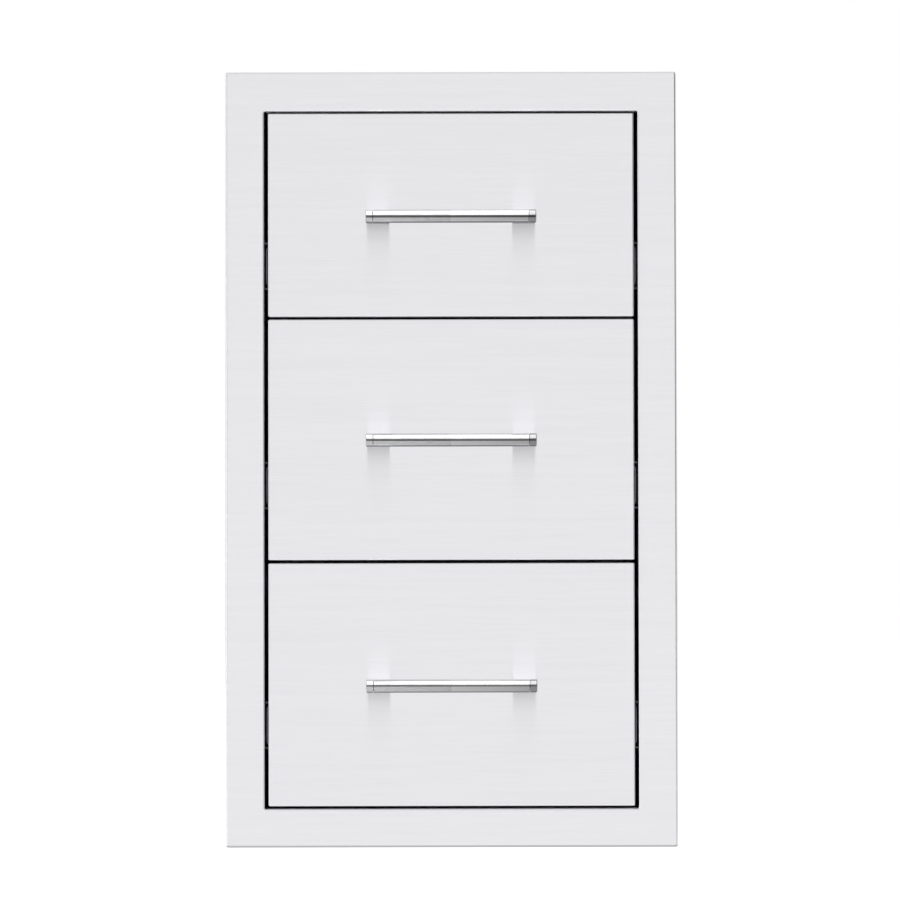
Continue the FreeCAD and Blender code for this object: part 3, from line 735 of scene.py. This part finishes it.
for drawer in DRAWERS:
    box_low, box_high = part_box(drawer + "_drawer_box")
    rail_low, rail_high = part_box(drawer + "_drawer_rail_left")
    rail_level = (rail_low.z + rail_high.z) / 2
    wall = box_high.x - BOX_SHEET
    screw_spots = []
    for sign in (-1, 1):
        screw_spots += [((sign * wall, y, rail_level), (-sign, 0, 0)) for y in ALONG_BOX]
        screw_spots += [((sign * RAIL_WEB, y, rail_level), (sign, 0, 0)) for y in ALONG_RAIL]
        screw_spots += [((sign * FRONT_SCREW_X, box_low.y + BOX_SHEET, z), (0, 1, 0))
                        for z in (box_low.z + FRONT_SCREW_INSET, box_high.z - FRONT_SCREW_INSET)]
        rivet_spots += [((sign * CASE_FACE, y, rail_level), (sign, 0, 0)) for y in ALONG_RAIL]
    screws = scattered(drawer + "_screws", screw_spots, screw_tree, screw_size, SCREW_RADIUS,
                       screw_steel)
    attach(screws, drawer + "_drawer")
for sign in (-1, 1):
    rivet_spots += [((sign * BACK_RIVET_X, BACK_FACE, BACK_RIVET_FOOT + BACK_RIVET_GAP * place), (0, 1, 0))
                    for place in range(BACK_RIVETS)]
    for level in WELD_LEVELS:
        weld_spots += [((sign * WELD_FACE, WELD_FRONT + WELD_GAP * place, level), (sign, 0, 0))
                       for place in range(WELDS_IN_ROW)]
rivets = scattered("case_rivets", rivet_spots, rivet_tree, rivet_size, RIVET_RADIUS, rivet_steel)
welds = scattered("case_spot_welds", weld_spots, weld_tree, weld_size, WELD_RADIUS, weld_steel)
for piece in (rivets, welds):
    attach(piece, "cabinet")


# FLOOR, LIGHT AND CAMERA
# A pale studio: a white floor just under the unit, and a camera far in front of it. The bars with
# their caps, the posts, and everything else each have soft boxes of their own.
WHITE = (1, 1, 1, 1)
FLOOR_REACH = 14
PIXEL = 0.000959
HALF_PICTURE_PIXELS = 450
AIM_RIGHT_PIXELS = -1.2
AIM_UP_PIXELS = 8.95
CAMERA_DISTANCE = 5.0
CAMERA_RISE_DEGREES = -1.3
CAMERA_ROLL_DEGREES = -0.11
SENSOR_WIDTH = 36
FACE_Y = -0.019
low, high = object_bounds()
centre_z = (high.z + low.z) / 2

floor_mesh = bpy.data.meshes.new("floor")
floor_corners = [(x * FLOOR_REACH, y * FLOOR_REACH, low.z)
                 for x, y in ((-1, -1), (1, -1), (1, 1), (-1, 1))]
floor_mesh.from_pydata(floor_corners, [], [(0, 1, 2, 3)])
floor_paint, floor_output = new_material("white studio floor")
tree = floor_paint.node_tree
seen = add(tree, "ShaderNodeLightPath").outputs["Is Camera Ray"]
glossy = add(tree, "ShaderNodeLightPath").outputs["Is Glossy Ray"]
matt = add(tree, "ShaderNodeBsdfDiffuse", {"Color": linear("#C8C8C8")})
bright = add(tree, "ShaderNodeEmission", {"Color": WHITE, "Strength": 0.8})
lit = add(tree, "ShaderNodeAddShader", {0: matt.outputs[0], 1: bright.outputs[0]})
spot = add(tree, "ShaderNodeTexCoord").outputs["Object"]
reach = add(tree, "ShaderNodeSeparateXYZ", {0: spot}).outputs["Y"]
fade = add(tree, "ShaderNodeMapRange", {0: reach, 1: -0.9, 2: -1.7, 3: 0.66, 4: 0.10},
           interpolation_type="SMOOTHSTEP")
mirror_look = add(tree, "ShaderNodeEmission", {"Color": WHITE, "Strength": fade.outputs[0]})
plain = add(tree, "ShaderNodeMixShader", {0: seen, 1: matt.outputs[0], 2: lit.outputs[0]})
shown = add(tree, "ShaderNodeMixShader", {0: glossy, 1: plain.outputs[0], 2: mirror_look.outputs[0]})
tree.links.new(shown.outputs[0], floor_output.inputs[0])
floor = to_mesh_object("floor", floor_mesh, floor_paint)

world = bpy.data.worlds.new("studio")
world.use_nodes = True
bpy.context.scene.world = world
tree = world.node_tree
tree.nodes.clear()
sky_output = add(tree, "ShaderNodeOutputWorld")
path = add(tree, "ShaderNodeLightPath")
white = add(tree, "ShaderNodeBackground", {"Color": WHITE, "Strength": 1.0})
direction = add(tree, "ShaderNodeTexCoord").outputs["Generated"]
heading = add(tree, "ShaderNodeSeparateXYZ", {0: direction})
behind = add(tree, "ShaderNodeMapRange", {0: heading.outputs["Y"], 1: -0.5, 2: 0.3, 3: 0.23, 4: 0.8},
             interpolation_type="SMOOTHSTEP")
room = add(tree, "ShaderNodeBackground", {"Color": WHITE, "Strength": behind.outputs[0]})
sky = add(tree, "ShaderNodeMixShader", {0: path.outputs["Is Camera Ray"], 1: room.outputs[0],
                                        2: white.outputs[0]})
tree.links.new(sky.outputs[0], sky_output.inputs[0])


def soft_box(name, centre, target, width, height, radiance, receivers):
    """A rectangular lamp turned to a target, unseen by the camera, that lights only receivers."""
    lamp = bpy.data.lights.new(name, "AREA")
    lamp.shape, lamp.size, lamp.size_y = "RECTANGLE", width, height
    lamp.energy = math.pi * width * height * radiance
    made = bpy.data.objects.new(name, lamp)
    bpy.context.scene.collection.objects.link(made)
    made.location = centre
    made.rotation_euler = (Vector(target) - Vector(centre)).to_track_quat("-Z", "Y").to_euler()
    made.visible_camera = False
    made.light_linking.receiver_collection = receivers


bars = bpy.data.collections.new("bars and caps")
posts = bpy.data.collections.new("posts")
others = bpy.data.collections.new("all but handles")
for piece in bpy.context.scene.objects:
    if piece.type != "MESH":
        continue
    is_bar = any(piece.name == d + k for d in DRAWERS for k in ("_bar", "_caps"))
    is_post = any(piece.name == d + "_posts" for d in DRAWERS)
    (bars if is_bar else posts if is_post else others).objects.link(piece)
    piece.visible_glossy = not is_bar
    piece.visible_shadow = not (is_bar or is_post or piece == floor)

soft_box("front fill", (-1.5, -5, 4.0), (-1.5, 0, 0.4), 8, 9, 0.81, others)
soft_box("near low fill", (0, -0.6, low.z + 0.002), (0, -0.6, 1.0), 1.6, 1.2, 0.54, others)
soft_box("far low fill", (0, -4.2, low.z + 0.002), (0, -4.2, 1.0), 1.6, 6.0, 1.17, others)
soft_box("left box", (-4.4, -2.0, 0.7), (0, 0, 0.37), 2.6, 3.0, 2.4, others)
soft_box("right side box", (4.5, 1.5, 2.0), (0, 0.25, 0.37), 5, 5, 0.45, others)
soft_box("left side box", (-4.5, 1.5, 2.0), (0, 0.25, 0.37), 5, 5, 0.45, others)
soft_box("ceiling box", (0, 1.3, 3.2), (0, 0.2, 0.4), 5, 3, 0.35, others)
soft_box("rear box", (0, 5.0, 2.6), (0, 0.5, 0.37), 6, 5, 0.6, others)
soft_box("top box", (0, -1.5, 3.1), (0, -0.05, 0.37), 4, 5.0, 1.3, bars)
soft_box("post box", (0, -3.5, 3.2), (0, -0.05, 0.37), 6, 6.0, 1.7, posts)
soft_box("post high box", (0, -1.6, 5.0), (0, -0.05, 0.37), 7, 3.0, 4.5, posts)
soft_box("post low box", (0, -2.5, low.z + 0.003), (0, -2.5, 1.0), 3, 3.0, 1.2, posts)

camera = bpy.data.objects.new("camera", bpy.data.cameras.new("camera"))
bpy.context.scene.collection.objects.link(camera)
bpy.context.scene.camera = camera
camera.data.sensor_width = SENSOR_WIDTH
camera.data.lens = SENSOR_WIDTH / 2 / (HALF_PICTURE_PIXELS * PIXEL / CAMERA_DISTANCE)
target = Vector((AIM_RIGHT_PIXELS * PIXEL, FACE_Y, centre_z + AIM_UP_PIXELS * PIXEL))
rise = math.radians(CAMERA_RISE_DEGREES)
camera.location = target + CAMERA_DISTANCE * Vector((0, -math.cos(rise), math.sin(rise)))
look = (target - camera.location).to_track_quat("-Z", "Y")
roll = Matrix.Rotation(math.radians(CAMERA_ROLL_DEGREES), 4, "Z")
camera.matrix_world = Matrix.Translation(camera.location) @ look.to_matrix().to_4x4() @ roll
bpy.context.scene.view_settings.view_transform = "Standard"
